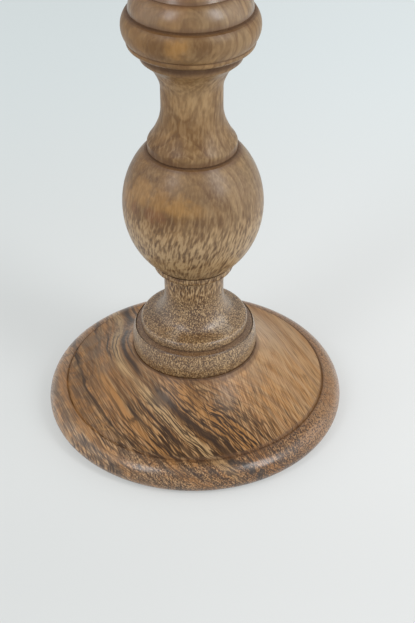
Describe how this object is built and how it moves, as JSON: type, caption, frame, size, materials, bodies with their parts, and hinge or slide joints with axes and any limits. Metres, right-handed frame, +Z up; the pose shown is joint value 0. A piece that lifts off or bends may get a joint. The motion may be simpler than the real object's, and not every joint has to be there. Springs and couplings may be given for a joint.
{
  "type": "pricket candle stand",
  "caption": "Turned wooden candle stand with a round foot, baluster stem, drip dish, loose brass wax pan and an upright spike that a pillar candle is pressed onto.",
  "frame": {"origin": "centre of the bottom of the foot's felt, on the surface the stand rests on", "axes": "+Z up along the axis everything is turned about, towards the spike's point; +X to the right and +Y away in the front view"},
  "size_m": [0.14, 0.14, 0.3134],
  "materials": {
    "foot_wood": "satin, side grain",
    "stem_wood": "satin, end grain and side grain",
    "felt": "matt",
    "steel": "zinc plated",
    "brass": "aged satin"
  },
  "bodies": {
    "stand": {"foot": "foot_wood", "base_felt": "felt", "tie_rod": "steel", "rod_nut": "steel", "spring_washer": "steel", "plain_washer": "steel", "lower_stem": "stem_wood", "upper_stem": "stem_wood", "drip_dish": "foot_wood", "pricket": "brass"},
    "pan": {"wax_pan": "brass"}
  },
  "joints": [
    {"name": "pan_lift", "type": "slide", "parent": "stand", "child": "pan", "axis": [0, 0, 1], "range_m": [0, 0.055]}
  ]
}
